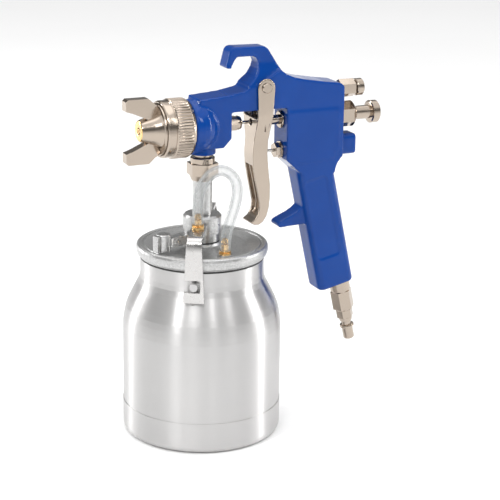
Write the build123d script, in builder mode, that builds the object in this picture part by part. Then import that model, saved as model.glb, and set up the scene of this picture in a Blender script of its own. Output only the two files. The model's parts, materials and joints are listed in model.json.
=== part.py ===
from build123d import *
import os
from math import cos, radians, sin, tan

os.makedirs("parts", exist_ok=True)

# ---------------------------------------------------------------------------
# Frame: origin at the centre of the cup's base, +Z up, nozzle towards -X.
# All sizes are in millimetres.
# ---------------------------------------------------------------------------
GUN_Z = 211.5  # height of the spray axis
FAN_Z = 229.5  # height of the fan-width valve's axis
AIR_Z = 190.5  # height of the air valve's axis
PIVOT = (40.5, 236.0)  # trigger pivot, x and z
HALF = 10.5  # half the thickness of the gun's casting
HOOK_HALF = 6.0  # half the thickness of the hanging hook's tip
BLOCK_X = 57.2  # front face of the rear block
REAR_X = 100.0  # rear face of the casting
RUN = 0.08  # radial clearance of a sliding or turning fit
GAP = 0.3  # clearance between pieces that move past each other

TILT = 12.4  # backward lean of the handle, degrees
GRIP_TOP = (78.2, 185.0)  # a point on the handle's centre line, x and z
GRIP_LENGTH = 96.5
GRIP_DEPTH = 27.4
GRIP_HALF = 10.5
INLET_OFFSET = 6.2  # air inlet's axis, behind the handle's centre line

CUP_R = 53.7
CUP_WALL = 1.4
BAND_R = 54.0
BAND_H = 21.7
NECK_R = 41.8
MOUTH_Z = 122.3
LID_R = 44.4
LID_BASE_Z = 123.6
LID_FLOOR_Z = 130.4
BOSS_TOP_Z = 133.0
STEM_R = 6.6
STEM_BORE = 3.4

YOKE_TURN = 240.4  # direction of the yoke's near strap, degrees from +X
STRAP_W = 9.6  # at the collar
STRAP_FOOT_W = 13.8
STRAP_T = 2.6
STRAP_TOP_Z = 148.0
STRAP_REACH = 48.3  # outer face of the strap's legs from the cup's axis
PIN_Z = 115.0
PIN_R = 2.6
LEVER_TURN = 200.0  # direction of the clamp lever's arm, degrees from +X

HOSE_R = 3.6
HOSE_BORE = 2.6
HOSE_ROUTE = [
    (-11.4, -19.6, 150.9), (-11.6, -19.6, 160.5), (-11.6, -20.0, 169.5),
    (-8.6, -21.3, 178.6), (-3.0, -23.3, 185.6), (4.6, -25.6, 187.2),
    (11.2, -27.6, 182.0), (12.8, -29.2, 173.0), (10.2, -30.6, 163.6),
    (6.4, -31.6, 154.4), (2.9, -32.0, 144.8), (2.6, -32.0, 134.4),
]
YOKE_BARB_XY = HOSE_ROUTE[0][:2]
LID_BARB_XY = HOSE_ROUTE[-1][:2]

SPRAY = Plane(origin=(0, 0, GUN_Z), x_dir=(1, 0, 0), z_dir=(0, -1, 0))
SPRAY_AXIS = Axis((0, 0, GUN_Z), (1, 0, 0))
FAN = Plane(origin=(0, 0, FAN_Z), x_dir=(1, 0, 0), z_dir=(0, -1, 0))
FAN_AXIS = Axis((0, 0, FAN_Z), (1, 0, 0))
VALVE = Plane(origin=(0, 0, AIR_Z), x_dir=(1, 0, 0), z_dir=(0, -1, 0))
VALVE_AXIS = Axis((0, 0, AIR_Z), (1, 0, 0))
PIN_PLANE = Plane(origin=(PIVOT[0], 0, PIVOT[1]), x_dir=(0, -1, 0), z_dir=(1, 0, 0))
PIN_AXIS = Axis((PIVOT[0], 0, PIVOT[1]), (0, -1, 0))

GRIP_DIR = (sin(radians(TILT)), 0, -cos(radians(TILT)))
GRIP_PLANE = Plane(origin=(GRIP_TOP[0], 0, GRIP_TOP[1]), x_dir=(cos(radians(TILT)), 0, sin(radians(TILT))),
                   z_dir=GRIP_DIR)
# The inlet's plane has its first axis along the fitting, pointing down and
# away from the handle's end, so a profile is (distance, radius).
INLET_ORIGIN = GRIP_PLANE.from_local_coords((INLET_OFFSET, 0, GRIP_LENGTH))
INLET = Plane(origin=INLET_ORIGIN, x_dir=GRIP_DIR, z_dir=(0, 1, 0))
INLET_AXIS = Axis(INLET_ORIGIN, GRIP_DIR)


def turned(points, plane, axis, mode=Mode.ADD):
    """Adds the body of revolution whose half profile is points."""
    with BuildSketch(plane) as profile:
        with BuildLine():
            Polyline(*points, close=True)
        make_face()
    revolve(profile.sketch, axis=axis, mode=mode)


def drilled(start, end, radius, plane, axis, mode=Mode.SUBTRACT):
    """Cuts a round hole along axis, from start to end."""
    turned([(start, 0), (end, 0), (end, radius), (start, radius)], plane, axis, mode)


def hexagon(start, end, across, plane, turn=0.0, mode=Mode.ADD):
    """Adds a hexagonal bar along the plane's first axis; across is its flats."""
    end_plane = Plane(origin=plane.from_local_coords((start, 0, 0)), x_dir=plane.z_dir, z_dir=plane.x_dir)
    with BuildSketch(end_plane) as flats:
        RegularPolygon(across / 2, 6, major_radius=False, rotation=turn)
    extrude(flats.sketch, amount=end - start, mode=mode)


def outline(points, plane, amount, both=True, mode=Mode.ADD):
    """Extrudes a closed outline, by amount to each side of its plane."""
    with BuildSketch(plane) as face:
        with BuildLine():
            Polyline(*points, close=True)
        make_face()
    extrude(face.sketch, amount=amount, both=both, mode=mode)


def save(builder, label):
    """Labels a finished piece and writes it under its own name."""
    builder.part.label = label
    export_step(builder.part, f"parts/{label}.step")


# ---------------------------------------------------------------------------
# The cup
# ---------------------------------------------------------------------------
CUP_OUTER = [
    (CUP_R, BAND_H - 6), (CUP_R, 76.0), (53.3, 80.0), (52.6, 84.2), (51.6, 88.4), (49.9, 92.7),
    (47.9, 97.0), (45.8, 101.2), (43.4, 105.6), (42.1, 109.2), (NECK_R, 112.6), (NECK_R, MOUTH_Z),
]
with BuildPart() as cup_body:
    with BuildSketch(Plane.XZ):
        with BuildLine():
            Polyline(*CUP_OUTER)
            Line((NECK_R, MOUTH_Z), (NECK_R - CUP_WALL, MOUTH_Z))
            Polyline(*[(x - CUP_WALL, z) for x, z in reversed(CUP_OUTER)])
            Line((CUP_R - CUP_WALL, BAND_H - 6), (CUP_R, BAND_H - 6))
        make_face()
    revolve(axis=Axis.Z)
save(cup_body, "cup_body")

# The base band is a shallow pan that the body is rolled into.
BASE_EDGE = 5.0
with BuildPart() as cup_base:
    with BuildSketch(Plane.XZ):
        with BuildLine():
            Line((0, 0), (BAND_R - BASE_EDGE, 0))
            RadiusArc((BAND_R - BASE_EDGE, 0), (BAND_R, BASE_EDGE), -BASE_EDGE)
            Line((BAND_R, BASE_EDGE), (BAND_R, BAND_H))
            Line((BAND_R, BAND_H), (CUP_R, BAND_H))
            Line((CUP_R, BAND_H), (CUP_R, BAND_H - 6))
            Line((CUP_R, BAND_H - 6), (CUP_R - CUP_WALL, BAND_H - 6))
            Line((CUP_R - CUP_WALL, BAND_H - 6), (CUP_R - CUP_WALL, BASE_EDGE))
            Line((CUP_R - CUP_WALL, BASE_EDGE), (BAND_R - BASE_EDGE, 2.4))
            Line((BAND_R - BASE_EDGE, 2.4), (0, 2.4))
            Line((0, 2.4), (0, 0))
        make_face()
    revolve(axis=Axis.Z)
save(cup_base, "cup_base")


def radial_plane(turn, distance, height):
    """A plane facing outwards from the cup's axis."""
    out = (cos(radians(turn)), sin(radians(turn)), 0)
    return Plane(origin=(out[0] * distance, out[1] * distance, height), x_dir=(-out[1], out[0], 0), z_dir=out)


with BuildPart() as cup_pins:
    for turn in (YOKE_TURN, YOKE_TURN + 180):
        with BuildSketch(radial_plane(turn, NECK_R - 0.2, PIN_Z)) as shank:
            Circle(PIN_R)
        extrude(shank.sketch, amount=8.0)
save(cup_pins, "cup_pins")

# ---------------------------------------------------------------------------
# The lid and what is fixed to it
# ---------------------------------------------------------------------------
with BuildPart() as lid_gasket:
    turned([(35.5, MOUTH_Z), (NECK_R + 0.1, MOUTH_Z), (NECK_R + 0.1, LID_BASE_Z), (35.5, LID_BASE_Z)],
           Plane.XZ, Axis.Z)
save(lid_gasket, "lid_gasket")

LID_PROFILE = [
    (STEM_R, 126.0), (30.0, 126.0), (35.0, 122.0), (35.0, LID_BASE_Z), (42.2, LID_BASE_Z), (43.6, 125.2),
    (LID_R, 127.6), (LID_R, 130.0), (43.9, 131.4), (42.8, 132.1), (40.6, 131.7), (40.2, 131.0),
    (39.4, 131.0), (39.0, 131.4), (30.0, LID_FLOOR_Z), (15.5, LID_FLOOR_Z + 0.2), (12.9, 131.4),
    (12.2, BOSS_TOP_Z), (STEM_R, BOSS_TOP_Z),
]
BARB_BOSS_R = 4.9
BARB_BOSS_TOP = 131.9
with BuildPart() as lid:
    turned(LID_PROFILE, Plane.XZ, Axis.Z)
    with BuildSketch(Plane.XY.offset(LID_FLOOR_Z - 1)) as boss:
        with Locations(LID_BARB_XY):
            Circle(BARB_BOSS_R)
    extrude(boss.sketch, amount=BARB_BOSS_TOP - LID_FLOOR_Z + 1)
    with BuildSketch(Plane.XY.offset(120)) as vent:
        with Locations(LID_BARB_XY):
            Circle(2.0)
    extrude(vent.sketch, amount=20, mode=Mode.SUBTRACT)
save(lid, "lid")


def barb(place, base_z, top_z):
    """A turned brass hose barb standing at place, with its through hole."""
    upright = Plane(origin=(place[0], place[1], 0), x_dir=(1, 0, 0), z_dir=(0, -1, 0))
    axis = Axis((place[0], place[1], 0), (0, 0, 1))
    barrel = HOSE_BORE - 0.1
    profile = [
        (0.9, base_z), (3.9, base_z), (4.1, base_z + 0.4), (4.1, base_z + 1.3), (3.1, base_z + 1.6),
        (3.1, base_z + 2.0), (3.9, base_z + 2.3), (barrel, base_z + 2.7), (barrel, top_z - 4.0),
        (barrel - 0.5, top_z - 3.8), (barrel, top_z - 2.4), (barrel - 0.9, top_z), (0.9, top_z),
    ]
    turned(profile, upright, axis)


with BuildPart() as lid_barb:
    barb(LID_BARB_XY, BARB_BOSS_TOP, 142.6)
save(lid_barb, "lid_barb")

with BuildPart() as yoke_barb:
    barb(YOKE_BARB_XY, STRAP_TOP_Z, 157.4)
save(yoke_barb, "yoke_barb")

SEAT_Z = 187.0
with BuildPart() as fluid_stem:
    turned(
        [(STEM_BORE, 119.0), (STEM_R - 0.6, 119.0), (STEM_R - 0.05, 119.6), (STEM_R - 0.05, BOSS_TOP_Z),
         (STEM_R, BOSS_TOP_Z), (STEM_R, 181.0), (7.1, 181.4), (7.1, 183.4), (4.4, SEAT_Z), (STEM_BORE, SEAT_Z)],
        Plane.XZ, Axis.Z,
    )
save(fluid_stem, "fluid_stem")

with BuildPart() as stem_locknut:
    with BuildSketch(Plane.XY.offset(121.2)) as flats:
        RegularPolygon(9.5, 6, major_radius=False)
        Circle(STEM_R, mode=Mode.SUBTRACT)
    extrude(flats.sketch, amount=4.6)
save(stem_locknut, "stem_locknut")

with BuildPart() as pickup_tube:
    turned([(2.6, 8.0), (3.35, 8.0), (3.35, 132.0), (2.6, 132.0)], Plane.XZ, Axis.Z)
save(pickup_tube, "pickup_tube")

with BuildPart() as hub_seal:
    turned([(7.4, BOSS_TOP_Z), (11.6, BOSS_TOP_Z), (11.6, 133.9), (7.4, 133.9)], Plane.XZ, Axis.Z)
save(hub_seal, "hub_seal")

# ---------------------------------------------------------------------------
# The clamp: a lever under the yoke lifts it and pulls the lid down
# ---------------------------------------------------------------------------
HUB_Z = 134.0
HUB_TOP = 141.0
HUB_R = 11.7
LEVER_PLANE = Plane.XY.rotated((0, 0, LEVER_TURN))
with BuildPart() as clamp_lever:
    turned([(STEM_R + RUN, HUB_Z), (HUB_R, HUB_Z), (HUB_R, HUB_TOP - 0.6), (HUB_R - 0.6, HUB_TOP),
            (STEM_R + RUN, HUB_TOP)], Plane.XZ, Axis.Z)
    with BuildSketch(LEVER_PLANE.offset(HUB_Z)) as arm:
        with BuildLine():
            Polyline((9.2, 5.4), (14.0, 4.4), (24.0, 2.5), (35.5, 2.2), (35.5, -2.2), (24.0, -2.5),
                     (14.0, -4.4), (9.2, -5.4), close=True)
        make_face()
    extrude(arm.sketch, amount=4.5)
    # Beyond the collar the arm is thicker, with a waist before the knuckle.
    with BuildSketch(LEVER_PLANE.offset(HUB_Z)) as thick_arm:
        with BuildLine():
            Polyline((14.6, 4.2), (22.0, 2.9), (28.0, 2.4), (34.0, 2.8), (34.0, -2.8), (28.0, -2.4),
                     (22.0, -2.9), (14.6, -4.2), close=True)
        make_face()
    extrude(thick_arm.sketch, amount=6.5)
    with BuildSketch(LEVER_PLANE.offset(132.7)) as knuckle:
        with Locations((34.5, 0)):
            Circle(5.0)
    extrude(knuckle.sketch, amount=11.6)
    fillet(clamp_lever.edges().group_by(Axis.Z)[-1], 1.2)
    with BuildSketch(LEVER_PLANE.offset(133.0)) as finger_pad:
        with Locations((40.6, 0)):
            Rectangle(2.6, 5.0)
        with Locations((38.6, 0)):
            Rectangle(3.0, 3.6)
    extrude(finger_pad.sketch, amount=10.6)
save(clamp_lever, "clamp_lever")

COLLAR_Z = 139.8
COLLAR_TOP = 152.0
COLLAR_R = 13.0
STRAP_UNDER = STRAP_TOP_Z - STRAP_T
STRAP_EYE_R = 11.2  # the ring in the strap's middle, hidden in the collar
with BuildPart() as yoke_collar:
    turned(
        [(HUB_R + GAP, COLLAR_Z), (COLLAR_R, COLLAR_Z), (COLLAR_R, COLLAR_TOP - 1.4),
         (COLLAR_R - 1.4, COLLAR_TOP), (STEM_R + RUN, COLLAR_TOP), (STEM_R + RUN, 142.7),
         (HUB_R + GAP, 142.7)],
        Plane.XZ, Axis.Z,
    )
    with BuildSketch(Plane.XY.rotated((0, 0, YOKE_TURN)).offset(STRAP_UNDER - 0.02)) as strap_slot:
        Rectangle(2 * COLLAR_R + 4, STRAP_W + 0.04)
        Circle(STRAP_EYE_R + 0.02)
    extrude(strap_slot.sketch, amount=STRAP_T + 0.04, mode=Mode.SUBTRACT)
save(yoke_collar, "yoke_collar")

STRAP_FOOT = 104.0
WINDOW = 8.4
with BuildPart() as yoke_strap:
    strap_side = Plane(origin=(0, 0, 0), x_dir=(cos(radians(YOKE_TURN)), sin(radians(YOKE_TURN)), 0),
                       z_dir=(sin(radians(YOKE_TURN)), -cos(radians(YOKE_TURN)), 0))
    inner = STRAP_REACH - STRAP_T
    half_strap = [
        (0, STRAP_UNDER), (41.2, STRAP_UNDER), (42.3, 145.3), (43.6, 144.6), (44.6, 143.2), (45.1, 141.6),
        (inner, 138.2), (inner, STRAP_FOOT), (STRAP_REACH, STRAP_FOOT), (STRAP_REACH, 138.3), (47.7, 142.0),
        (47.0, 144.4), (45.6, 146.4), (43.6, 147.6), (41.3, STRAP_TOP_Z), (0, STRAP_TOP_Z),
    ]
    outline(half_strap, strap_side, STRAP_FOOT_W / 2)
    outline([(-x, z) for x, z in half_strap], strap_side, STRAP_FOOT_W / 2)
    # The strap is widest at its feet and narrows towards the collar.
    strap_front = [
        (-STRAP_FOOT_W / 2, 103.0), (STRAP_FOOT_W / 2, 103.0), (5.2, 141.0), (STRAP_W / 2, STRAP_UNDER - 0.4),
        (STRAP_W / 2, 149.0), (-STRAP_W / 2, 149.0), (-STRAP_W / 2, STRAP_UNDER - 0.4), (-5.2, 141.0),
    ]
    outline(strap_front, Plane(origin=(0, 0, 0), x_dir=-strap_side.z_dir, z_dir=strap_side.x_dir), 60,
            True, Mode.INTERSECT)
    with BuildSketch(Plane.XY.offset(STRAP_UNDER)) as eye:
        Circle(STRAP_EYE_R)
    extrude(eye.sketch, amount=STRAP_T)
    for side in (1, -1):
        leg = Plane(origin=strap_side.from_local_coords((side * inner, PIN_Z + 0.3, 0)),
                    x_dir=strap_side.z_dir * side, z_dir=strap_side.x_dir * side)
        with BuildSketch(leg.offset(-1)) as window:
            RectangleRounded(WINDOW, WINDOW, 1.2)
            with Locations((WINDOW / 2 - 1, 0)):
                Rectangle(STRAP_FOOT_W / 2 + 3, WINDOW - 0.6, align=(Align.MIN, Align.CENTER))
        extrude(window.sketch, amount=STRAP_T + 2, mode=Mode.SUBTRACT)
    drilled(STRAP_UNDER - 1, STRAP_TOP_Z + 1, STEM_R + RUN,
            Plane(origin=(0, 0, 0), x_dir=(0, 0, 1), z_dir=(0, -1, 0)), Axis.Z)
save(yoke_strap, "yoke_strap")

# ---------------------------------------------------------------------------
# The swivel nut that joins the cup to the gun
# ---------------------------------------------------------------------------
NUT_BASE = 175.2
NUT_TOP = 190.7
NUT_HEX = 18.6
with BuildPart() as coupling_nut:
    turned([(0, 186.6), (8.3, 186.6), (8.3, NUT_TOP - 0.4), (7.9, NUT_TOP), (0, NUT_TOP)], Plane.XZ, Axis.Z)
    with BuildSketch(Plane.XY.offset(179.0)) as flats:
        RegularPolygon(NUT_HEX / 2, 6, major_radius=False, rotation=28)
    extrude(flats.sketch, amount=7.8)
    turned([(0, NUT_BASE), (7.6, NUT_BASE), (9.2, 179.2), (0, 179.2)], Plane.XZ, Axis.Z)
    turned([(0, NUT_BASE - 1), (STEM_R + RUN, NUT_BASE - 1), (STEM_R + RUN, 180.9), (7.6, 180.9),
            (7.6, NUT_TOP + 1), (0, NUT_TOP + 1)], Plane.XZ, Axis.Z, Mode.SUBTRACT)
save(coupling_nut, "coupling_nut")

INLET_BOSS_Z = 192.8
with BuildPart() as fluid_nipple:
    turned(
        [(4.6, SEAT_Z + 0.1), (7.2, 185.3), (7.2, 190.5), (5.6, 190.9), (5.6, 203.0), (2.8, 203.0),
         (2.8, SEAT_Z + 0.6)],
        Plane.XZ, Axis.Z,
    )
save(fluid_nipple, "fluid_nipple")

# ---------------------------------------------------------------------------
# The gun's casting
# ---------------------------------------------------------------------------
HEAD_X = -11.6  # front face of the casting's head
SPIGOT_X = -21.0  # front end of the threaded spigot
SPIGOT_R = 15.2
HEAD_R = 18.4
UPPER = [
    (-8.0, 222.0), (-6.0, 230.9), (14.0, 232.4), (26.0, 234.6), (36.0, 238.0), (52.0, 247.0),
    (56.5, 243.6), (63.0, 241.0), (71.0, 239.2), (85.0, 236.8), (97.0, 235.2), (REAR_X, 232.4),
    (REAR_X, 184.6), (98.0, 182.6), (96.0, 180.0), (94.8, 176.8), (94.0, 173.0), (70.0, 173.0),
    (BLOCK_X, 185.0), (BLOCK_X, 221.0), (16.6, 221.0),
    (16.6, 203.6), (11.0, 197.6), (-6.0, 197.6),
]
HOOK = [
    (26.0, 230.0), (29.4, 238.4), (34.4, 243.0), (36.8, 248.4), (37.2, 252.6), (35.6, 255.6),
    (33.0, 256.6), (22.0, 256.6), (20.4, 255.0), (19.4, 253.0), (18.2, 251.0), (17.6, 249.4),
    (14.4, 249.2), (14.2, 251.0), (16.7, 260.6), (18.0, 262.4), (20.2, 263.2), (42.0, 262.6),
    (44.4, 260.6), (49.6, 252.6), (54.0, 245.6), (54.0, 230.0),
]
SPUR = [
    (72.0, 150.4), (68.6, 147.6), (64.8, 145.4), (59.0, 143.0), (55.0, 141.2), (53.8, 139.8),
    (53.8, 138.4), (55.4, 137.0), (61.0, 137.2), (78.0, 137.8), (80.0, 146.0),
]
BLOCK_FACE = [
    (BLOCK_X, 218.0), (94.6, 218.0), (96.6, 216.0), (96.6, 190.0), (92.6, 183.6), (64.0, 181.6), (BLOCK_X, 187.0),
]
HOOK_TAPER = [
    (-HALF, 228.0), (-HALF, 236.0), (-HOOK_HALF, 252.0), (-HOOK_HALF, 265.0),
    (HOOK_HALF, 265.0), (HOOK_HALF, 252.0), (HALF, 236.0), (HALF, 228.0),
]
with BuildPart() as gun_body:
    # The hook narrows from the beam's full width towards its tip.
    outline(HOOK, Plane.XZ, HALF)
    outline(HOOK_TAPER, Plane.YZ, 80, True, Mode.INTERSECT)
    outline(UPPER, Plane.XZ, HALF)
    fillet(gun_body.edges().filter_by(Axis.Y).group_by(Axis.X)[-1], 1.5)
    turned([(HEAD_X, 0), (HEAD_X, HEAD_R - 1.0), (HEAD_X + 1.2, HEAD_R), (-6.0, HEAD_R), (-2.0, 17.6),
            (2.0, 15.6), (5.5, 12.6), (8.0, 9.0), (9.0, 5.0), (9.0, 0)], SPRAY, SPRAY_AXIS)
    with BuildSketch(Plane.XY.offset(INLET_BOSS_Z)) as boss:
        Circle(8.8)
    extrude(boss.sketch, amount=12.0)
    outline(SPUR, Plane.XZ, 6.0)
    with BuildSketch(GRIP_PLANE.offset(-8)) as grip:
        RectangleRounded(GRIP_DEPTH, 2 * GRIP_HALF, 4.8)
    extrude(grip.sketch, amount=GRIP_LENGTH + 8)
    fillet(gun_body.faces().sort_by(Axis.Z)[0].edges(), 2.4)
    with BuildSketch(Plane.YZ.offset(REAR_X - 6)) as lug:
        with Locations((0, 191.4)):
            RectangleRounded(15.0, 14.2, 3.0)
    extrude(lug.sketch, amount=17.2)
    # Shallow thumb panels, one on each side of the handle.
    for face in (1, -1):
        panel_plane = Plane(origin=GRIP_PLANE.from_local_coords((-2.0, 0, 44.0)), x_dir=GRIP_PLANE.x_dir,
                            z_dir=(0, face, 0))
        with BuildSketch(panel_plane.offset(GRIP_HALF - 0.7)) as panel:
            RectangleRounded(17.0, 59.0, 3.0)
        extrude(panel.sketch, amount=3.0, mode=Mode.SUBTRACT)
    # The block's side faces stand a little proud of the beam above them.
    outline(BLOCK_FACE, Plane.XZ, HALF + 0.45)
    # The notch between beam and block is open from side to side.
    outline([(16.6, 221.0), (BLOCK_X, 221.0), (BLOCK_X, 190.0), (16.6, 190.0)], Plane.XZ, 30, True, Mode.SUBTRACT)
    turned([(HEAD_X + 1, 0), (HEAD_X + 1, SPIGOT_R), (SPIGOT_X, SPIGOT_R), (SPIGOT_X, 0)], SPRAY, SPRAY_AXIS)
    # Fluid side: nozzle thread, paint gallery, packing and needle clearance.
    drilled(SPIGOT_X - 1, -7.0, 5.05, SPRAY, SPRAY_AXIS)
    drilled(-8.0, 9.0, 3.6, SPRAY, SPRAY_AXIS)
    drilled(8.0, 17.5, 4.05, SPRAY, SPRAY_AXIS)
    with BuildSketch(Plane.XY.offset(INLET_BOSS_Z - 3)) as inlet_bore:
        Circle(5.65)
    extrude(inlet_bore.sketch, amount=203.05 - INLET_BOSS_Z + 3, mode=Mode.SUBTRACT)
    with BuildSketch(Plane.XY.offset(202)) as paint_hole:
        Circle(2.8)
    extrude(paint_hole.sketch, amount=9.5, mode=Mode.SUBTRACT)
    # Needle spring chamber, behind the trigger.
    drilled(BLOCK_X - 1, 67.0, 4.65, SPRAY, SPRAY_AXIS)
    drilled(66.0, REAR_X + 1, 6.05, SPRAY, SPRAY_AXIS)
    # Fan-width valve.
    drilled(77.0, REAR_X + 1, 4.6, FAN, FAN_AXIS)
    # Air valve chamber, running back into the lug.
    drilled(BLOCK_X - 1, 66.0, 4.55, VALVE, VALVE_AXIS)
    drilled(65.0, 106.0, 5.6, VALVE, VALVE_AXIS)
    # Air way up the handle.
    with BuildSketch(GRIP_PLANE.offset(8)) as air_way:
        with Locations((INLET_OFFSET - 1.5, 0)):
            Circle(4.5)
    extrude(air_way.sketch, amount=GRIP_LENGTH, mode=Mode.SUBTRACT)
    with BuildSketch(Plane(origin=INLET_ORIGIN, x_dir=(0, 1, 0), z_dir=(-GRIP_DIR[0], 0, -GRIP_DIR[2]))) as thread:
        Circle(6.3)
    extrude(thread.sketch, amount=11.0, mode=Mode.SUBTRACT)
    # Trigger pivot.
    with BuildSketch(Plane.XZ.offset(-30)) as pivot_hole:
        with Locations(PIVOT):
            Circle(2.45)
    extrude(pivot_hole.sketch, amount=60, mode=Mode.SUBTRACT)
save(gun_body, "gun_body")

# ---------------------------------------------------------------------------
# The spray head
# ---------------------------------------------------------------------------
RING_IN = SPIGOT_R + GAP
with BuildPart() as retaining_ring:
    turned(
        [(-31.4, 17.5), (-31.4, 18.2), (-30.2, 19.0), (-24.8, 19.0), (-24.4, 19.9), (-14.0, 19.9),
         (HEAD_X - GAP, 18.6), (HEAD_X - GAP, RING_IN), (-21.6, RING_IN),
         (-21.6, 18.15), (-28.0, 18.15), (-28.0, 17.5)],
        SPRAY, SPRAY_AXIS,
    )
save(retaining_ring, "retaining_ring")

with BuildPart() as air_baffle:
    turned([(-25.2, 7.0), (-25.2, 13.0), (-23.6, 14.8), (SPIGOT_X, 14.8), (SPIGOT_X, 5.15), (-22.4, 5.15),
            (-22.4, 7.0)], SPRAY, SPRAY_AXIS)
    with BuildSketch(Plane(origin=(-26, 0, GUN_Z), x_dir=(0, 1, 0), z_dir=(1, 0, 0))) as air_holes:
        with PolarLocations(10.6, 10):
            Circle(1.3)
    extrude(air_holes.sketch, amount=7, mode=Mode.SUBTRACT)
save(air_baffle, "air_baffle")

with BuildPart() as fluid_nozzle:
    turned([(-45.2, 0), (-45.2, 1.7), (-44.0, 1.8), (-42.2, 1.8), (-38.0, 3.2), (-31.0, 5.2), (-30.0, 6.6),
            (-27.0, 6.6), (-27.0, 6.0), (-22.5, 6.0), (-22.5, 5.0), (-8.0, 5.0), (-8.0, 0)], SPRAY, SPRAY_AXIS)
    turned([(-46, 0), (-46, 0.8), (-43.4, 0.8), (-42.0, 1.3), (-37.0, 2.2), (-7, 2.2), (-7, 0)], SPRAY, SPRAY_AXIS,
           Mode.SUBTRACT)
save(fluid_nozzle, "fluid_nozzle")

CAP_FRONT = -45.0
CAP_FACE_R = 7.2
HORN_FRONT = -55.0
HORN_HALF = 3.6
with BuildPart() as air_cap:
    turned(
        [(CAP_FRONT, 0), (CAP_FRONT, CAP_FACE_R - 0.5), (CAP_FRONT + 0.5, CAP_FACE_R), (-42.0, 8.0),
         (-37.0, 9.6), (-33.2, 11.4), (-31.6, 12.4), (-31.4, 14.8), (-33.2, 16.2), (-32.8, 17.1),
         (-27.7, 17.1), (-27.7, 17.85), (-25.5, 17.85), (-25.5, 0)],
        SPRAY, SPRAY_AXIS,
    )
    for side in (1, -1):
        horn = [(HORN_FRONT + 1.4, 21.6), (-39.4, 21.6), (-35.0, 17.6), (-33.0, 16.6), (-31.5, 16.6),
                (-31.5, 8.0), (-40.0, 8.0), (-44.6, 10.0), (-50.6, 12.6), (HORN_FRONT, 14.0), (HORN_FRONT, 20.2)]
        outline([(x, side * r) for x, r in horn], SPRAY, HORN_HALF)
    drilled(CAP_FRONT - 1, -40.0, 2.3, SPRAY, SPRAY_AXIS)
    turned([(-40.5, 0), (-40.5, 4.9), (-34.5, 8.2), (-30.6, 11.0), (-30.0, 15.4), (-25.0, 15.4), (-25.0, 0)],
           SPRAY, SPRAY_AXIS, Mode.SUBTRACT)
    turned([(-40.4, 0), (-40.4, 4.9), (-43.0, 2.3), (-43.0, 0)], SPRAY, SPRAY_AXIS, Mode.SUBTRACT)
save(air_cap, "air_cap")

# ---------------------------------------------------------------------------
# The fluid needle and what guides it
# ---------------------------------------------------------------------------
NEEDLE_R = 1.1
SLEEVE_R = 3.25
SLEEVE_X = 43.4
SLEEVE_END = 69.0
with BuildPart() as fluid_needle:
    turned([(-44.9, 0), (-44.6, 0.35), (-40.6, NEEDLE_R), (112.0, NEEDLE_R), (112.0, 0)], SPRAY, SPRAY_AXIS)
save(fluid_needle, "fluid_needle")

with BuildPart() as needle_packing:
    turned([(9.05, NEEDLE_R + RUN), (9.05, 4.0), (13.4, 4.0), (13.4, NEEDLE_R + RUN)], SPRAY, SPRAY_AXIS)
save(needle_packing, "needle_packing")

with BuildPart() as packing_nut:
    drilled(13.5, 17.0, 4.0, SPRAY, SPRAY_AXIS, Mode.ADD)
    hexagon(16.7, 23.6, 9.0, SPRAY)
    turned([(23.4, 0), (23.4, 4.5), (25.0, 4.9), (26.6, 4.3), (26.6, 0)], SPRAY, SPRAY_AXIS)
    drilled(13.0, 27.0, NEEDLE_R + GAP, SPRAY, SPRAY_AXIS)
save(packing_nut, "packing_nut")

with BuildPart() as needle_sleeve:
    turned([(SLEEVE_X, NEEDLE_R + 0.02), (SLEEVE_X, SLEEVE_R - 0.4), (SLEEVE_X + 0.4, SLEEVE_R),
            (SLEEVE_END - 2, SLEEVE_R), (SLEEVE_END - 2, 5.4), (SLEEVE_END, 5.4),
            (SLEEVE_END, NEEDLE_R + 0.02)], SPRAY, SPRAY_AXIS)
save(needle_sleeve, "needle_sleeve")

with BuildPart() as sleeve_gland:
    turned([(55.4, SLEEVE_R + RUN), (55.4, 5.2), (56.0, 5.9), (BLOCK_X, 5.9), (BLOCK_X, 4.6), (63.0, 4.6),
            (63.0, SLEEVE_R + RUN)], SPRAY, SPRAY_AXIS)
save(sleeve_gland, "sleeve_gland")

SEAT_X = 92.6


def coil(start, end, radius, wire, turns, plane):
    """A coil spring along the plane's first axis."""
    pitch = (end - start) / turns
    helix = Helix(pitch=pitch, height=end - start, radius=radius,
                  center=plane.from_local_coords((start, 0, 0)), direction=plane.x_dir)
    with BuildSketch(Plane(origin=helix @ 0, z_dir=helix % 0)) as section:
        Circle(wire)
    sweep(section.sketch, path=helix, is_frenet=True)


with BuildPart() as needle_spring:
    coil(SLEEVE_END + 0.8, SEAT_X - 0.8, 4.3, 0.6, 7, SPRAY)
save(needle_spring, "needle_spring")

with BuildPart() as spring_seat:
    turned([(SEAT_X, NEEDLE_R + GAP), (SEAT_X, 5.4), (SEAT_X + 2.0, 5.4), (SEAT_X + 2.0, 3.0),
            (111.0, 3.0), (111.0, NEEDLE_R + GAP)], SPRAY, SPRAY_AXIS)
save(spring_seat, "spring_seat")

GUIDE_HEX = 15.6
with BuildPart() as fluid_guide:
    hexagon(REAR_X, 111.6, GUIDE_HEX, SPRAY, 30)
    turned([(109.9, 0), (109.9, 12), (113, 12), (113, 0)], SPRAY, SPRAY_AXIS, Mode.SUBTRACT)
    turned([(109.8, 0), (109.8, 8.9), (111.8, 6.6), (111.8, 0)], SPRAY, SPRAY_AXIS)
    drilled(96.5, REAR_X + 0.5, 6.0, SPRAY, SPRAY_AXIS, Mode.ADD)
    drilled(96.0, 112.0, 4.7 + RUN, SPRAY, SPRAY_AXIS)
save(fluid_guide, "fluid_guide")

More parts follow.
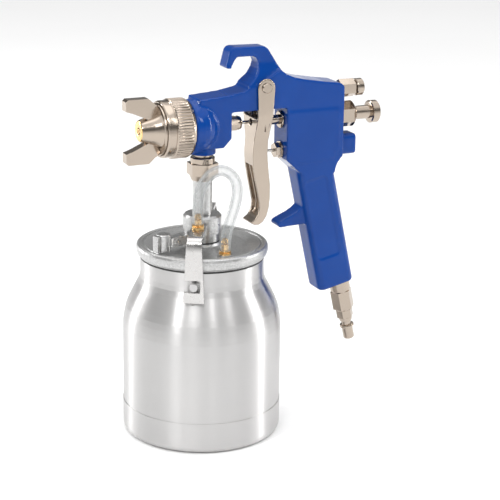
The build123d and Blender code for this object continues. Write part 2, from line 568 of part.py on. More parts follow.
KNOB_FRONT = 124.0
KNOB_REAR = 130.0
with BuildPart() as fluid_knob:
    turned(
        [(97.6, 3.0 + RUN), (97.6, 4.7), (KNOB_FRONT, 4.7), (KNOB_FRONT + 0.2, 6.8),
         (KNOB_FRONT + 0.7, 7.8), (KNOB_REAR - 0.6, 7.8), (KNOB_REAR, 7.2), (KNOB_REAR, 0),
         (122.0, 0), (122.0, 3.0 + RUN)],
        SPRAY, SPRAY_AXIS,
    )
save(fluid_knob, "fluid_knob")

# ---------------------------------------------------------------------------
# The fan-width valve
# ---------------------------------------------------------------------------
with BuildPart() as fan_guide:
    hexagon(REAR_X, 111.2, 10.9, FAN, 30)
    drilled(88.0, REAR_X + 0.5, 4.5, FAN, FAN_AXIS, Mode.ADD)
    drilled(87.0, 112.0, 2.2 + RUN, FAN, FAN_AXIS)
save(fan_guide, "fan_guide")

with BuildPart() as fan_needle:
    turned([(77.6, 0), (80.5, 1.8), (84.0, 2.2), (112.6, 2.2), (112.6, 0)], FAN, FAN_AXIS)
save(fan_needle, "fan_needle")

with BuildPart() as fan_knob:
    turned([(112.7, 0), (112.7, 5.4), (113.2, 5.9), (117.2, 5.9), (117.9, 5.2), (117.9, 0)], FAN, FAN_AXIS)
save(fan_knob, "fan_knob")

# ---------------------------------------------------------------------------
# The air valve
# ---------------------------------------------------------------------------
with BuildPart() as air_valve_nut:
    hexagon(52.2, 56.0, 9.0, VALVE, 30)
    drilled(55.8, BLOCK_X, 5.9, VALVE, VALVE_AXIS, Mode.ADD)
    drilled(BLOCK_X - 0.5, 64.0, 4.5, VALVE, VALVE_AXIS, Mode.ADD)
    drilled(51.0, 65.0, 1.0 + RUN, VALVE, VALVE_AXIS)
save(air_valve_nut, "air_valve_nut")

STEM_TIP = 43.5
with BuildPart() as air_valve_stem:
    turned([(STEM_TIP, 0), (STEM_TIP, 0.8), (STEM_TIP + 0.2, 1.0), (70.0, 1.0), (71.0, 4.6), (74.0, 4.6),
            (74.0, 1.6), (80.0, 1.6), (80.0, 0)], VALVE, VALVE_AXIS)
save(air_valve_stem, "air_valve_stem")

with BuildPart() as air_valve_seat:
    turned([(66.05, 1.0 + GAP), (66.05, 5.5), (69.8, 5.5), (69.8, 3.4), (68.0, 1.0 + GAP)], VALVE, VALVE_AXIS)
save(air_valve_seat, "air_valve_seat")

with BuildPart() as air_valve_spring:
    coil(74.7, 105.2, 3.6, 0.5, 8, VALVE)
save(air_valve_spring, "air_valve_spring")

# ---------------------------------------------------------------------------
# The trigger
# ---------------------------------------------------------------------------
ARM_IN = HALF + 0.5
ARM_T = 1.7
FINGER_HALF = 7.3
ARM_R = 6.2
WEB_X = 41.2
FINGER_FRONT = [
    (34.0, 199.0), (33.4, 190.0), (33.8, 182.0), (35.6, 172.0), (37.6, 163.0), (39.2, 155.0),
    (38.6, 149.4), (36.2, 145.4), (33.4, 143.6), (33.0, 142.6), (35.4, 141.4), (38.6, 141.2),
]
FINGER_REAR = [
    (41.6, 143.0), (44.4, 147.2), (46.0, 153.0), (46.6, 160.0), (46.6, 168.0), (45.2, 180.0),
    (44.3, 190.0), (44.7, 199.0),
]
with BuildPart() as trigger:
    # Upright cheeks beside the casting, cranked inwards below it, with a front plate between them.
    cheek = [(PIVOT[0] - ARM_R, PIVOT[1]), (34.8, 216.0), (34.0, 199.0), (44.7, 199.0), (45.6, 216.0),
             (PIVOT[0] + ARM_R, PIVOT[1])]
    low = FINGER_HALF - ARM_T
    envelope = [(-FINGER_HALF, 140.0), (FINGER_HALF, 140.0), (FINGER_HALF, 199.5), (ARM_IN + ARM_T, 217.0),
                (ARM_IN + ARM_T, 244.0), (-ARM_IN - ARM_T, 244.0), (-ARM_IN - ARM_T, 217.0),
                (-FINGER_HALF, 199.5)]
    outline(envelope, Plane.YZ.offset(20), 40, False)
    with BuildSketch(Plane.XZ.offset(-30)) as side_view:
        with BuildLine():
            Polyline(*cheek, close=True)
        make_face()
        with Locations(PIVOT):
            Circle(ARM_R)
        with BuildLine():
            Polyline(*(FINGER_FRONT + FINGER_REAR), close=True)
        make_face()
    extrude(side_view.sketch, amount=60, mode=Mode.INTERSECT)
    # The finger's front is hollowed lengthwise.
    hollow = [(30.0, 183.0), (36.8, 182.0), (39.2, 172.0), (41.2, 163.0), (42.6, 155.0),
              (41.8, 149.6), (39.0, 147.0), (30.0, 150.0), (20.0, 150.0), (20.0, 183.0)]
    outline(hollow, Plane.XZ, low, True, Mode.SUBTRACT)
    # Behind the front plate the trigger is an open channel.
    outline([(36.6, 200.0), (36.6, 187.0), (38.8, 184.0), (43.0, 178.0), (60.0, 178.0), (60.0, 200.0)],
            Plane.XZ, low, True, Mode.SUBTRACT)
    channel = [(-low, 199.9), (low, 199.9), (ARM_IN, 217.4), (ARM_IN, 250.0), (-ARM_IN, 250.0), (-ARM_IN, 217.4)]
    outline(channel, Plane.YZ.offset(36.6), 30, False, Mode.SUBTRACT)
    plate_top = low + (ARM_IN - low) * (215.0 - 199.9) / 17.5
    above_plate = [(-plate_top, 215.0), (plate_top, 215.0), (ARM_IN, 217.4), (ARM_IN, 250.0), (-ARM_IN, 250.0),
                   (-ARM_IN, 217.4)]
    outline(above_plate, Plane.YZ.offset(20), 40, False, Mode.SUBTRACT)
    # A bridge between the cheeks pushes the needle's sleeve.
    outline([(WEB_X - 0.6, 206.2), (WEB_X + 1.9, 206.2), (WEB_X + 1.9, 216.6), (WEB_X - 0.6, 216.6)],
            Plane.XZ, ARM_IN + 0.6)
    outline([(WEB_X - 2, 190.0), (WEB_X + 1.8, 190.0), (WEB_X + 1.9, 207.0), (WEB_X - 0.6, 207.0)],
            Plane.XZ, FINGER_HALF - ARM_T + 0.4)
    drilled(30.0, 50.0, 2.3, SPRAY, SPRAY_AXIS)
    with BuildSketch(Plane.XZ.offset(-30)) as pivot_hole:
        with Locations(PIVOT):
            Circle(2.4 + RUN)
    extrude(pivot_hole.sketch, amount=60, mode=Mode.SUBTRACT)
save(trigger, "trigger")

HEAD_Y = ARM_IN + ARM_T + 0.15
with BuildPart() as pivot_stud:
    turned([(-HEAD_Y, 0), (-HEAD_Y, 2.4), (HEAD_Y, 2.4), (HEAD_Y, 3.5), (HEAD_Y + 0.6, 3.5),
            (HEAD_Y + 1.2, 2.9), (HEAD_Y + 1.2, 0)], PIN_PLANE, PIN_AXIS)
    drilled(-HEAD_Y - 1, -2.0, 1.25, PIN_PLANE, PIN_AXIS)
save(pivot_stud, "pivot_stud")

with BuildPart() as pivot_screw:
    turned([(-HEAD_Y, 0), (-HEAD_Y, 3.5), (-HEAD_Y - 0.7, 3.5), (-HEAD_Y - 1.3, 2.8), (-HEAD_Y - 1.3, 0)],
           PIN_PLANE, PIN_AXIS)
    drilled(-HEAD_Y - 0.1, -4.0, 1.2, PIN_PLANE, PIN_AXIS, Mode.ADD)
    outline([(-HEAD_Y - 2, -4), (-HEAD_Y - 2, 4), (-HEAD_Y - 0.7, 4), (-HEAD_Y - 0.7, -4)], PIN_PLANE, 0.45,
            True, Mode.SUBTRACT)
save(pivot_screw, "pivot_screw")

# ---------------------------------------------------------------------------
# The air inlet
# ---------------------------------------------------------------------------
ADAPTER_HEX = 13.4
PLUG_HEX = 10.4
PLUG_TIP_R = 3.9
FITTING = [0.0, 8.0, 21.6, 22.8, 28.8, 31.8, 34.4, 37.0, 45.6]  # stations down the fitting
with BuildPart() as inlet_adapter:
    drilled(-9.0, 0.5, 6.2, INLET, INLET_AXIS, Mode.ADD)
    turned([(FITTING[0], 0), (FITTING[0], 7.2), (FITTING[1] - 1.0, 7.2), (FITTING[1], 6.7), (FITTING[1], 0)],
           INLET, INLET_AXIS)
    hexagon(FITTING[1], FITTING[2], ADAPTER_HEX, INLET, 40)
    turned([(FITTING[2] - 0.1, 0), (FITTING[2] - 0.1, 6.6), (FITTING[3], 5.8), (FITTING[3], 0)],
           INLET, INLET_AXIS)
    drilled(-10.0, FITTING[3] + 1, 3.4, INLET, INLET_AXIS)
    drilled(12.0, FITTING[3] + 1, 4.3, INLET, INLET_AXIS)
save(inlet_adapter, "inlet_adapter")

with BuildPart() as air_plug:
    drilled(12.5, FITTING[3] + 0.1, 4.2, INLET, INLET_AXIS, Mode.ADD)
    hexagon(FITTING[3], FITTING[4], PLUG_HEX, INLET, 40)
    turned([(FITTING[4] - 0.1, 0), (FITTING[4] - 0.1, 5.1), (FITTING[5], 4.3), (FITTING[5], 3.3),
            (FITTING[6], 3.3), (FITTING[6] + 0.4, 4.9), (FITTING[6] + 1.4, 5.2), (FITTING[7] - 0.4, 5.0),
            (FITTING[7], PLUG_TIP_R), (FITTING[8] - 0.8, PLUG_TIP_R), (FITTING[8], 3.3), (FITTING[8], 0)],
           INLET, INLET_AXIS)
    drilled(12.0, FITTING[8] + 1, 2.2, INLET, INLET_AXIS)
save(air_plug, "air_plug")

# ---------------------------------------------------------------------------
# The clear vent hose: straight runs joined by tangent arcs
# ---------------------------------------------------------------------------
route = [Vector(*point) for point in HOSE_ROUTE]
runs = [b - a for a, b in zip(route, route[1:])]
bend_radii = []
for before, after in zip(runs, runs[1:]):
    half_turn = radians(before.get_angle(after)) / 2
    bend_radii.append(0.45 * min(before.length, after.length) / tan(half_turn))
print("hose bend radii, mm:", [round(value, 1) for value in bend_radii])

with BuildPart() as vent_hose:
    with BuildLine() as hose_path:
        FilletPolyline(*route, radius=bend_radii)
    with BuildSketch(Plane(origin=route[0], z_dir=runs[0])) as hose_section:
        Circle(HOSE_R)
        Circle(HOSE_BORE, mode=Mode.SUBTRACT)
    sweep(hose_section.sketch, path=hose_path.wires()[0])
save(vent_hose, "vent_hose")
hose_length = hose_path.wires()[0].length
hose_area = 3.14159 * (HOSE_R**2 - HOSE_BORE**2)
volume_ratio = vent_hose.part.volume / hose_length / hose_area
print("hose length, mm:", round(hose_length, 1), "volume ratio:", round(volume_ratio, 4))
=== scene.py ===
import json
import math

import bmesh
import bpy
from mathutils import Matrix, Vector


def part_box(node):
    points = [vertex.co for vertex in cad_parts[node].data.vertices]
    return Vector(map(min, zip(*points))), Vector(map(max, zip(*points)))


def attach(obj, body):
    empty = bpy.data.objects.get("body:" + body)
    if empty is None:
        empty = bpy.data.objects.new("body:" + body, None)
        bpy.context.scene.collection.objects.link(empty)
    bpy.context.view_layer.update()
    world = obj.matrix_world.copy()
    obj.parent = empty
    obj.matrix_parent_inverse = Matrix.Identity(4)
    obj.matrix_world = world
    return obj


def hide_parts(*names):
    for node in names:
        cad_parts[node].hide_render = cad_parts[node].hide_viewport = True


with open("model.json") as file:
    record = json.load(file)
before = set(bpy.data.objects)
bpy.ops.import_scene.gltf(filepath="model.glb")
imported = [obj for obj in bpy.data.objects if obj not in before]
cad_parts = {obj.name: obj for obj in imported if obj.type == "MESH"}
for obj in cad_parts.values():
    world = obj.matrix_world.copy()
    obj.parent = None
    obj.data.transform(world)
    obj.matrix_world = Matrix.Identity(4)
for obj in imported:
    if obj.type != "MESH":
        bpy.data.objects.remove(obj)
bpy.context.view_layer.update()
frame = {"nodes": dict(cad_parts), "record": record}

MM = 0.001
ROOT = "gun_and_cup"

# ---------------------------------------------------------------------------
# Camera
# ---------------------------------------------------------------------------
CAM_AZIMUTH = math.radians(-25)
CAM_ELEVATION = math.radians(17)
CAM_ROLL = math.radians(0.8)
CAM_DISTANCE = 1.1
CAM_TARGET = Vector((0.0356, 0, 0.12179))
CAM_LENS = 115.81
CAM_SENSOR = 36.0


def make_camera():
    """A long lens at the viewing angle, turned very slightly about its own axis."""
    back = Vector((math.sin(CAM_AZIMUTH) * math.cos(CAM_ELEVATION),
                   -math.cos(CAM_AZIMUTH) * math.cos(CAM_ELEVATION), math.sin(CAM_ELEVATION)))
    right = (-back).cross(Vector((0, 0, 1))).normalized()
    up = right.cross(-back)
    side = math.cos(CAM_ROLL) * right + math.sin(CAM_ROLL) * up
    top = -math.sin(CAM_ROLL) * right + math.cos(CAM_ROLL) * up
    data = bpy.data.cameras.new("camera")
    data.lens = CAM_LENS
    data.sensor_width = CAM_SENSOR
    data.clip_start = 0.05
    data.clip_end = 50.0
    camera = bpy.data.objects.new("camera", data)
    turn = Matrix((side, top, back)).transposed().to_4x4()
    camera.matrix_world = Matrix.Translation(CAM_TARGET + back * CAM_DISTANCE) @ turn
    bpy.context.scene.collection.objects.link(camera)
    bpy.context.scene.camera = camera


make_camera()

# ---------------------------------------------------------------------------
# Node helpers for materials
# ---------------------------------------------------------------------------
NOISE_LOW, NOISE_HIGH = 0.3, 0.7  # most of a noise lies between these


class Shader:
    """A material and short ways of adding its nodes."""

    def __init__(self, name, **values):
        self.material = bpy.data.materials.new(name)
        self.material.use_nodes = True
        self.tree = self.material.node_tree
        self.main = self.tree.nodes["Principled BSDF"]
        for socket, value in values.items():
            self.main.inputs[socket.replace("_", " ")].default_value = value
        self.place = self.tree.nodes.new("ShaderNodeTexCoord").outputs["Object"]
        self.bump_in = None

    def node(self, kind, **values):
        made = self.tree.nodes.new(kind)
        for key, value in values.items():
            setattr(made, key, value)
        return made

    def link(self, out, into):
        self.tree.links.new(out, into)

    def scaled(self, x, y, z):
        """Object coordinates in metres, stretched by a factor along each axis."""
        mapping = self.node("ShaderNodeMapping")
        mapping.inputs["Scale"].default_value = (x, y, z)
        self.link(self.place, mapping.inputs["Vector"])
        return mapping.outputs["Vector"]

    def noise(self, scale, detail, rough=0.55, stretch=(1, 1, 1)):
        made = self.node("ShaderNodeTexNoise")
        made.inputs["Scale"].default_value = scale
        made.inputs["Detail"].default_value = detail
        made.inputs["Roughness"].default_value = rough
        self.link(self.scaled(*stretch), made.inputs["Vector"])
        return made.outputs["Fac"]

    def ramp(self, out, *stops):
        made = self.node("ShaderNodeValToRGB")
        ends = made.color_ramp.elements
        while len(ends) < len(stops):
            ends.new(0.5)
        for end, (position, colour) in zip(ends, stops):
            end.position = position
            end.color = (*colour, 1.0)
        self.link(out, made.inputs["Fac"])
        return made.outputs["Color"]

    def spread(self, out, low, high):
        """Maps the part of its range that a noise uses onto low to high."""
        made = self.node("ShaderNodeMapRange")
        made.inputs["From Min"].default_value = NOISE_LOW
        made.inputs["From Max"].default_value = NOISE_HIGH
        made.inputs["To Min"].default_value = low
        made.inputs["To Max"].default_value = high
        self.link(out, made.inputs["Value"])
        return made.outputs["Result"]

    def colour(self, out):
        self.link(out, self.main.inputs["Base Color"])

    def mottled(self, noise, dark, light):
        """Colours the surface from dark to light by a noise."""
        self.colour(self.ramp(noise, (NOISE_LOW, dark), (NOISE_HIGH, light)))

    def roughness(self, out):
        self.link(out, self.main.inputs["Roughness"])

    def bump(self, out, strength, distance):
        """Adds a layer of bump; distance is in metres."""
        made = self.node("ShaderNodeBump")
        made.inputs["Strength"].default_value = strength
        made.inputs["Distance"].default_value = distance
        self.link(out, made.inputs["Height"])
        if self.bump_in is not None:
            self.link(self.bump_in, made.inputs["Normal"])
        self.bump_in = made.outputs["Normal"]
        self.link(self.bump_in, self.main.inputs["Normal"])


def blue_paint():
    paint = Shader("blue_paint", Roughness=0.075, Specular_IOR_Level=0.26)
    paint.mottled(paint.noise(24, 3), (0.0016, 0.042, 0.235), (0.0024, 0.050, 0.270))
    paint.bump(paint.noise(260, 2, 0.5), 0.12, 0.00010)
    paint.bump(paint.noise(55, 2), 0.16, 0.0004)
    return paint.material


def nickel(name="nickel", tint=(0.43, 0.365, 0.305), rough=(0.13, 0.22), bump=0.05):
    metal = Shader(name, Metallic=1.0)
    metal.mottled(metal.noise(60, 3), tint, tuple(value * 1.05 for value in tint))
    metal.roughness(metal.spread(metal.noise(120, 3), *rough))
    metal.bump(metal.noise(400, 2, 0.5), bump, 0.00005)
    return metal.material


def cast_metal(name, tint, rough, grain_size, grain):
    metal = Shader(name, Metallic=1.0)
    dark = tuple(value * 0.70 for value in tint)
    metal.colour(metal.ramp(metal.noise(grain_size, 5, 0.7), (0.34, dark), (0.66, tint)))
    metal.roughness(metal.spread(metal.noise(grain_size * 0.6, 4), *rough))
    metal.bump(metal.noise(grain_size, 5, 0.7), grain, 0.00025)
    metal.bump(metal.noise(grain_size * 0.12, 3), grain * 0.25, 0.0005)
    return metal.material


def spun_aluminium():
    """Turned metal: fine lines run round the vertical axis."""
    metal = Shader("spun_aluminium", Metallic=1.0, Anisotropic=0.92, Anisotropic_Rotation=0.25)
    tangent = metal.node("ShaderNodeTangent", direction_type="RADIAL", axis="Z")
    metal.link(tangent.outputs["Tangent"], metal.main.inputs["Tangent"])
    metal.mottled(metal.noise(14, 3, 0.5, (1, 1, 0.6)), (0.57, 0.565, 0.56), (0.62, 0.61, 0.605))
    metal.roughness(metal.spread(metal.noise(26, 3, 0.5, (0.5, 0.5, 8)), 0.36, 0.39))
    metal.bump(metal.noise(36, 3, 0.5, (0.3, 0.3, 50)), 0.035, 0.00005)
    return metal.material


def brass():
    metal = Shader("brass", Metallic=1.0)
    metal.mottled(metal.noise(90, 3), (0.78, 0.50, 0.20), (0.90, 0.63, 0.30))
    metal.roughness(metal.spread(metal.noise(260, 3), 0.20, 0.36))
    metal.bump(metal.noise(700, 3), 0.10, 0.00005)
    return metal.material


def rubber():
    black = Shader("black_rubber", Roughness=0.62)
    black.mottled(black.noise(80, 3), (0.012, 0.012, 0.012), (0.026, 0.026, 0.025))
    black.bump(black.noise(600, 3), 0.3, 0.0001)
    return black.material


def ptfe():
    white = Shader("ptfe", Roughness=0.45)
    white.mottled(white.noise(80, 3), (0.80, 0.80, 0.78), (0.88, 0.88, 0.86))
    return white.material


def clear_pvc():
    """Clear soft hose: nearly see-through face on, milky at its edges."""
    hose = Shader("clear_pvc", Roughness=0.10, IOR=1.45)
    hose.mottled(hose.noise(50, 3), (0.44, 0.46, 0.46), (0.54, 0.56, 0.56))
    edge = hose.node("ShaderNodeLayerWeight")
    edge.inputs["Blend"].default_value = 0.35
    cover = hose.node("ShaderNodeMapRange")
    cover.inputs["To Min"].default_value = 0.11
    cover.inputs["To Max"].default_value = 0.92
    hose.link(edge.outputs["Facing"], cover.inputs["Value"])
    hose.link(cover.outputs["Result"], hose.main.inputs["Alpha"])
    hose.bump(hose.noise(120, 3), 0.05, 0.0003)
    return hose.material


MATERIALS = {
    "blue_paint": blue_paint(),
    "nickel_plate": nickel(),
    "stainless": nickel("stainless", (0.52, 0.50, 0.47), (0.12, 0.22), 0.03),
    "bright_steel": nickel("bright_steel", (0.56, 0.55, 0.54), (0.20, 0.32), 0.06),
    "brushed_aluminium": spun_aluminium(),
    "cast_aluminium": cast_metal("cast_aluminium", (0.58, 0.58, 0.575), (0.24, 0.38), 600, 0.18),
    "brass": brass(),
    "black_rubber": rubber(),
    "white_ptfe": ptfe(),
    "clear_hose": clear_pvc(),
}
SLOT_OF = {entry["node"]: entry["material_slot"] for entry in frame["record"]["subparts"]}
BODY_OF = {node: body for body, nodes in frame["record"]["behaviour"]["bodies"].items() for node in nodes}
for node, obj in frame["nodes"].items():
    obj.data.materials.clear()
    obj.data.materials.append(MATERIALS[SLOT_OF[node]])
grainy_lid = cast_metal("lid_casting", (0.60, 0.60, 0.595), (0.30, 0.46), 900, 0.55)
frame["nodes"]["lid"].data.materials[0] = grainy_lid

# ---------------------------------------------------------------------------
# Mesh helpers
# ---------------------------------------------------------------------------


def add_object(name, data, material):
    obj = bpy.data.objects.new(name, data)
    bpy.context.scene.collection.objects.link(obj)
    data.materials.append(material)
    return obj


def applied_mesh(obj):
    """A new mesh of an object as its modifiers or its curve make it."""
    bpy.context.view_layer.update()
    return bpy.data.meshes.new_from_object(obj.evaluated_get(bpy.context.evaluated_depsgraph_get()))


def join_loops(mesh, a, b):
    """A band of four-sided faces between two closed loops of vertices."""
    for step in range(len(a)):
        other = (step + 1) % len(a)
        mesh.faces.new((a[step], a[other], b[other], b[step]))


def finished_mesh(name, mesh):
    """Closes a bmesh into mesh data."""
    data = bpy.data.meshes.new(name)
    mesh.to_mesh(data)
    mesh.free()
    return data


def shade_smooth(data):
    for polygon in data.polygons:
        polygon.use_smooth = True


# ---------------------------------------------------------------------------
# The clear vent hose
# ---------------------------------------------------------------------------
HOSE_ROUTE = [
    (-11.4, -19.6, 150.9), (-11.6, -19.6, 160.5), (-11.6, -20.0, 169.5),
    (-8.6, -21.3, 178.6), (-3.0, -23.3, 185.6), (4.6, -25.6, 187.2),
    (11.2, -27.6, 182.0), (12.8, -29.2, 173.0), (10.2, -30.6, 163.6),
    (6.4, -31.6, 154.4), (2.9, -32.0, 144.8), (2.6, -32.0, 134.4),
]
HOSE_R = 3.6 * MM
HOSE_BORE_R = 2.6 * MM
HOSE_SIDES = 40


def centreline(route):
    """The smooth line of the hose, as a NURBS curve with no thickness."""
    data = bpy.data.curves.new("hose_line", "CURVE")
    data.dimensions = "3D"
    spline = data.splines.new("NURBS")
    spline.points.add(len(route) - 1)
    for point, place in zip(spline.points, route):
        point.co = (*[value * MM for value in place], 1)
    spline.order_u = 3
    spline.use_endpoint_u = True
    data.resolution_u = 12
    obj = bpy.data.objects.new("hose_line", data)
    bpy.context.scene.collection.objects.link(obj)
    points = [vertex.co.copy() for vertex in applied_mesh(obj).vertices]
    bpy.data.objects.remove(obj)
    return points


def frames_along(points):
    """A direction and a steady side vector at each point."""
    result = []
    side = None
    for index, point in enumerate(points):
        ahead = points[min(index + 1, len(points) - 1)] - points[max(index - 1, 0)]
        ahead.normalize()
        if side is None:
            side = ahead.orthogonal().normalized()
        side = (side - ahead * side.dot(ahead)).normalized()
        result.append((point, side.copy(), ahead.cross(side)))
    return result


def hollow_tube(name, points, outer, inner, sides, material):
    """A tube with a wall along points, open at both ends."""
    mesh = bmesh.new()
    walls = []
    for radius in (outer, inner):
        loops = []
        for point, side, across in frames_along(points):
            loop = []
            for step in range(sides):
                turn = 2 * math.pi * step / sides
                outward = math.cos(turn) * side + math.sin(turn) * across
                loop.append(mesh.verts.new(point + radius * outward))
            loops.append(loop)
        walls.append(loops)
    for loops in walls:
        for a, b in zip(loops, loops[1:]):
            join_loops(mesh, a, b)
    for end in (0, -1):
        join_loops(mesh, walls[0][end], walls[1][end])
    bmesh.ops.recalc_face_normals(mesh, faces=mesh.faces)
    data = finished_mesh(name, mesh)
    shade_smooth(data)
    return add_object(name, data, material)


hose_points = centreline(HOSE_ROUTE)
hose = hollow_tube("clear_vent_hose", hose_points, HOSE_R, HOSE_BORE_R, HOSE_SIDES, MATERIALS["clear_hose"])
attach(hose, ROOT)
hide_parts("vent_hose")

# ---------------------------------------------------------------------------
# The casting and the trigger with soft edges, the machined pieces with broken ones
# ---------------------------------------------------------------------------
BEVEL_ANGLE = math.radians(32)  # sharper edges than this are broken
BEVEL_SEGMENTS = 2
FLAT_ANGLE = math.radians(1.5)  # faces that meet within this are merged first
WELD_DISTANCE = 0.004 * MM
SOFT_EDGED = {"gun_body": ("gun_casting", 0.65, 8), "trigger": ("trigger_stamping", 0.40, 4)}
BEVEL_WIDTH = {
    "clamp_lever": 0.5, "yoke_strap": 0.3, "coupling_nut": 0.3, "fluid_guide": 0.3,
    "fan_guide": 0.3, "inlet_adapter": 0.3, "air_plug": 0.25, "packing_nut": 0.25, "air_valve_nut": 0.25,
    "air_cap": 0.35, "sleeve_gland": 0.2, "needle_sleeve": 0.2,
}


def apply_modifiers(obj):
    """Turns an object's modified mesh into its own mesh."""
    made = applied_mesh(obj)
    obj.modifiers.clear()
    obj.data = made


def softened(node, name, voxel, passes):
    """A copy of a CAD node with its edges rounded, as a casting's or a pressing's are."""
    data = frame["nodes"][node].data.copy()
    data.materials.clear()
    obj = add_object(name, data, MATERIALS[SLOT_OF[node]])
    remesh = obj.modifiers.new("remesh", "REMESH")
    remesh.mode = "VOXEL"
    remesh.voxel_size = voxel
    remesh.use_smooth_shade = True
    smooth = obj.modifiers.new("smooth", "SMOOTH")
    smooth.factor = 0.5
    smooth.iterations = passes
    apply_modifiers(obj)
    shade_smooth(obj.data)
    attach(obj, BODY_OF[node])
    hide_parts(node)


def bevelled(node, width):
    """A copy of a CAD node with its sharp edges broken, as machined parts have."""
    data = frame["nodes"][node].data.copy()
    mesh = bmesh.new()
    mesh.from_mesh(data)
    bmesh.ops.remove_doubles(mesh, verts=mesh.verts, dist=WELD_DISTANCE)
    bmesh.ops.dissolve_limit(mesh, angle_limit=FLAT_ANGLE, verts=mesh.verts, edges=mesh.edges)
    mesh.to_mesh(data)
    mesh.free()
    data.materials.clear()
    obj = add_object(node + "_finished", data, MATERIALS[SLOT_OF[node]])
    edge = obj.modifiers.new("edge", "BEVEL")
    edge.width = width
    edge.segments = BEVEL_SEGMENTS
    edge.limit_method = "ANGLE"
    edge.angle_limit = BEVEL_ANGLE
    edge.use_clamp_overlap = True
    edge.harden_normals = False
    weighted = obj.modifiers.new("weighted", "WEIGHTED_NORMAL")
    weighted.keep_sharp = False
    shade_smooth(obj.data)
    apply_modifiers(obj)
    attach(obj, BODY_OF[node])
    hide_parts(node)


for node, (name, voxel, passes) in SOFT_EDGED.items():
    softened(node, name, voxel * MM, passes)
for node, width in BEVEL_WIDTH.items():
    bevelled(node, width * MM)

# ---------------------------------------------------------------------------
# The knurled ring and the cap's brass front
# ---------------------------------------------------------------------------
GROOVE = (0.0, 0.0, 0.1, 0.7, 1.0, 0.7, 0.1)  # depth across one tooth and its groove
TEETH = 64
GROOVE_DEPTH = 0.50
KNURLED_X = (-24.3, -14.2)
SHARP_ANGLE = math.radians(28)
RING = [
    (-31.4, 17.5), (-31.4, 18.1), (-31.1, 18.5), (-30.2, 18.95), (-29.8, 19.0), (-26.3, 19.0), (-26.1, 18.7),
    (-25.7, 18.7), (-25.5, 19.0), (-24.9, 19.0), (-24.7, 19.3), (-24.3, 19.9), (-14.2, 19.9), (-13.8, 19.7),
    (-12.1, 18.8), (-11.9, 18.5), (-11.9, 15.5), (-21.6, 15.5), (-21.6, 18.15), (-28.0, 18.15), (-28.0, 17.5),
]
DISC = [(-44.95, 2.4), (-45.1, 2.5), (-45.35, 3.0), (-45.35, 5.9), (-45.2, 6.5), (-44.95, 6.8)]
DISC_SIDES = 96


def turned_about_x(name, node, profile, sides, slot, depth=0.0, band=(0, 0)):
    """A closed (x, radius) profile in mm turned about the spray axis, knurled lengthwise over a band of x."""
    lo_corner, hi_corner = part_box("retaining_ring")
    axis_z = (lo_corner[2] + hi_corner[2]) / 2
    mesh = bmesh.new()
    loops = []
    for x, radius in profile:
        loop = []
        for step in range(sides):
            cut_in = depth * GROOVE[step % len(GROOVE)] if band[0] <= x <= band[1] else 0.0
            turn = 2 * math.pi * step / sides
            reach = (radius - cut_in) * MM
            loop.append(mesh.verts.new((x * MM, reach * math.cos(turn), axis_z + reach * math.sin(turn))))
        loops.append(loop)
    for a, b in zip(loops, loops[1:] + loops[:1]):
        join_loops(mesh, a, b)
    bmesh.ops.recalc_face_normals(mesh, faces=mesh.faces)
    for edge in mesh.edges:
        edge.smooth = edge.calc_face_angle(0) < SHARP_ANGLE
    data = finished_mesh(name, mesh)
    shade_smooth(data)
    obj = add_object(name, data, MATERIALS[slot])
    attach(obj, node)
    return obj


ring = turned_about_x("knurled_ring", "retaining_ring", RING, TEETH * len(GROOVE), "nickel_plate",
                      GROOVE_DEPTH, KNURLED_X)
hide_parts("retaining_ring")
turned_about_x("cap_front_disc", "air_cap", DISC, DISC_SIDES, "brass")

# ---------------------------------------------------------------------------
# Floor and light
# ---------------------------------------------------------------------------
FLOOR_RADIUS = 9
CENTRE = (0.02, 0, 0.13)  # what the lights aim at
STRIP_DISTANCE = 1.5
SKY = ((0.0, 0.90), (0.12, 0.36), (0.26, 0.14), (0.50, 0.20), (0.68, 1.0), (1.0, 1.10))  # height, grey
SKY_STRENGTH = 1.12


def make_floor():
    mesh = bmesh.new()
    bmesh.ops.create_circle(mesh, cap_ends=True, segments=96, radius=FLOOR_RADIUS)
    data = finished_mesh("floor", mesh)
    paper = Shader("floor_paper", Roughness=0.9)
    paper.mottled(paper.noise(3, 2), (0.93, 0.93, 0.93), (0.945, 0.945, 0.945))
    add_object("floor", data, paper.material)


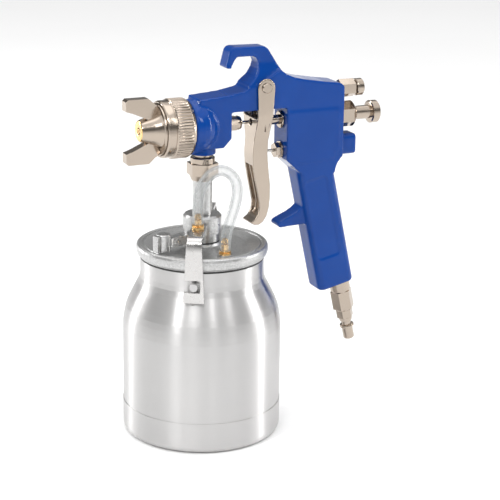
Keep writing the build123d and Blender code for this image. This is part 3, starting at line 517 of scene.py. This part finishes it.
def area(name, place, width, height, power):
    """A softbox at place, facing the object, in metres and watts."""
    data = bpy.data.lights.new(name, "AREA")
    data.shape = "RECTANGLE"
    data.size = width
    data.size_y = height
    data.energy = power
    lamp = bpy.data.objects.new(name, data)
    lamp.location = place
    lamp.rotation_mode = "QUATERNION"
    lamp.rotation_quaternion = (Vector(place) - Vector(CENTRE)).to_track_quat("Z", "Y")
    lamp.visible_camera = False
    bpy.context.scene.collection.objects.link(lamp)


def make_world():
    world = bpy.data.worlds.new("studio")
    bpy.context.scene.world = world
    world.use_nodes = True
    tree = world.node_tree
    background = tree.nodes["Background"]
    place = tree.nodes.new("ShaderNodeTexCoord")
    split = tree.nodes.new("ShaderNodeSeparateXYZ")
    ramp = tree.nodes.new("ShaderNodeValToRGB")
    tree.links.new(place.outputs["Generated"], split.inputs["Vector"])
    tree.links.new(split.outputs["Z"], ramp.inputs["Fac"])
    tree.links.new(ramp.outputs["Color"], background.inputs["Color"])
    ends = ramp.color_ramp.elements
    for position, _ in SKY[1:-1]:
        ends.new(position)
    for end, (_, grey) in zip(ends, SKY):
        end.color = (grey, grey, grey, 1)
    background.inputs["Strength"].default_value = SKY_STRENGTH


def strip(name, azimuth, elevation, width, height, power):
    """An upright softbox at a fixed distance from the object, placed by its bearing and height in degrees."""
    turn, rise = math.radians(azimuth), math.radians(elevation)
    place = (CENTRE[0] + STRIP_DISTANCE * math.cos(rise) * math.cos(turn),
             CENTRE[1] + STRIP_DISTANCE * math.cos(rise) * math.sin(turn),
             CENTRE[2] + STRIP_DISTANCE * math.sin(rise))
    area(name, place, width, height, power)


make_floor()
make_world()
area("top", (0.1, 0.2, 1.9), 1.5, 1.5, 8)
area("key", (-1.0, -1.3, 1.5), 0.5, 0.5, 5)
strip("left_strip", 129, 16, 0.10, 1.2, 8.0)
strip("right_strip", 340, 16, 0.10, 1.2, 8.0)
strip("front_strip_a", 265, 42, 0.08, 0.6, 1.6)
strip("front_strip_b", 296, 40, 0.08, 0.6, 1.3)
strip("spark", 205, 38, 0.08, 0.08, 5.0)

scene = bpy.context.scene
scene.view_settings.view_transform = "Standard"
scene.view_settings.look = "None"
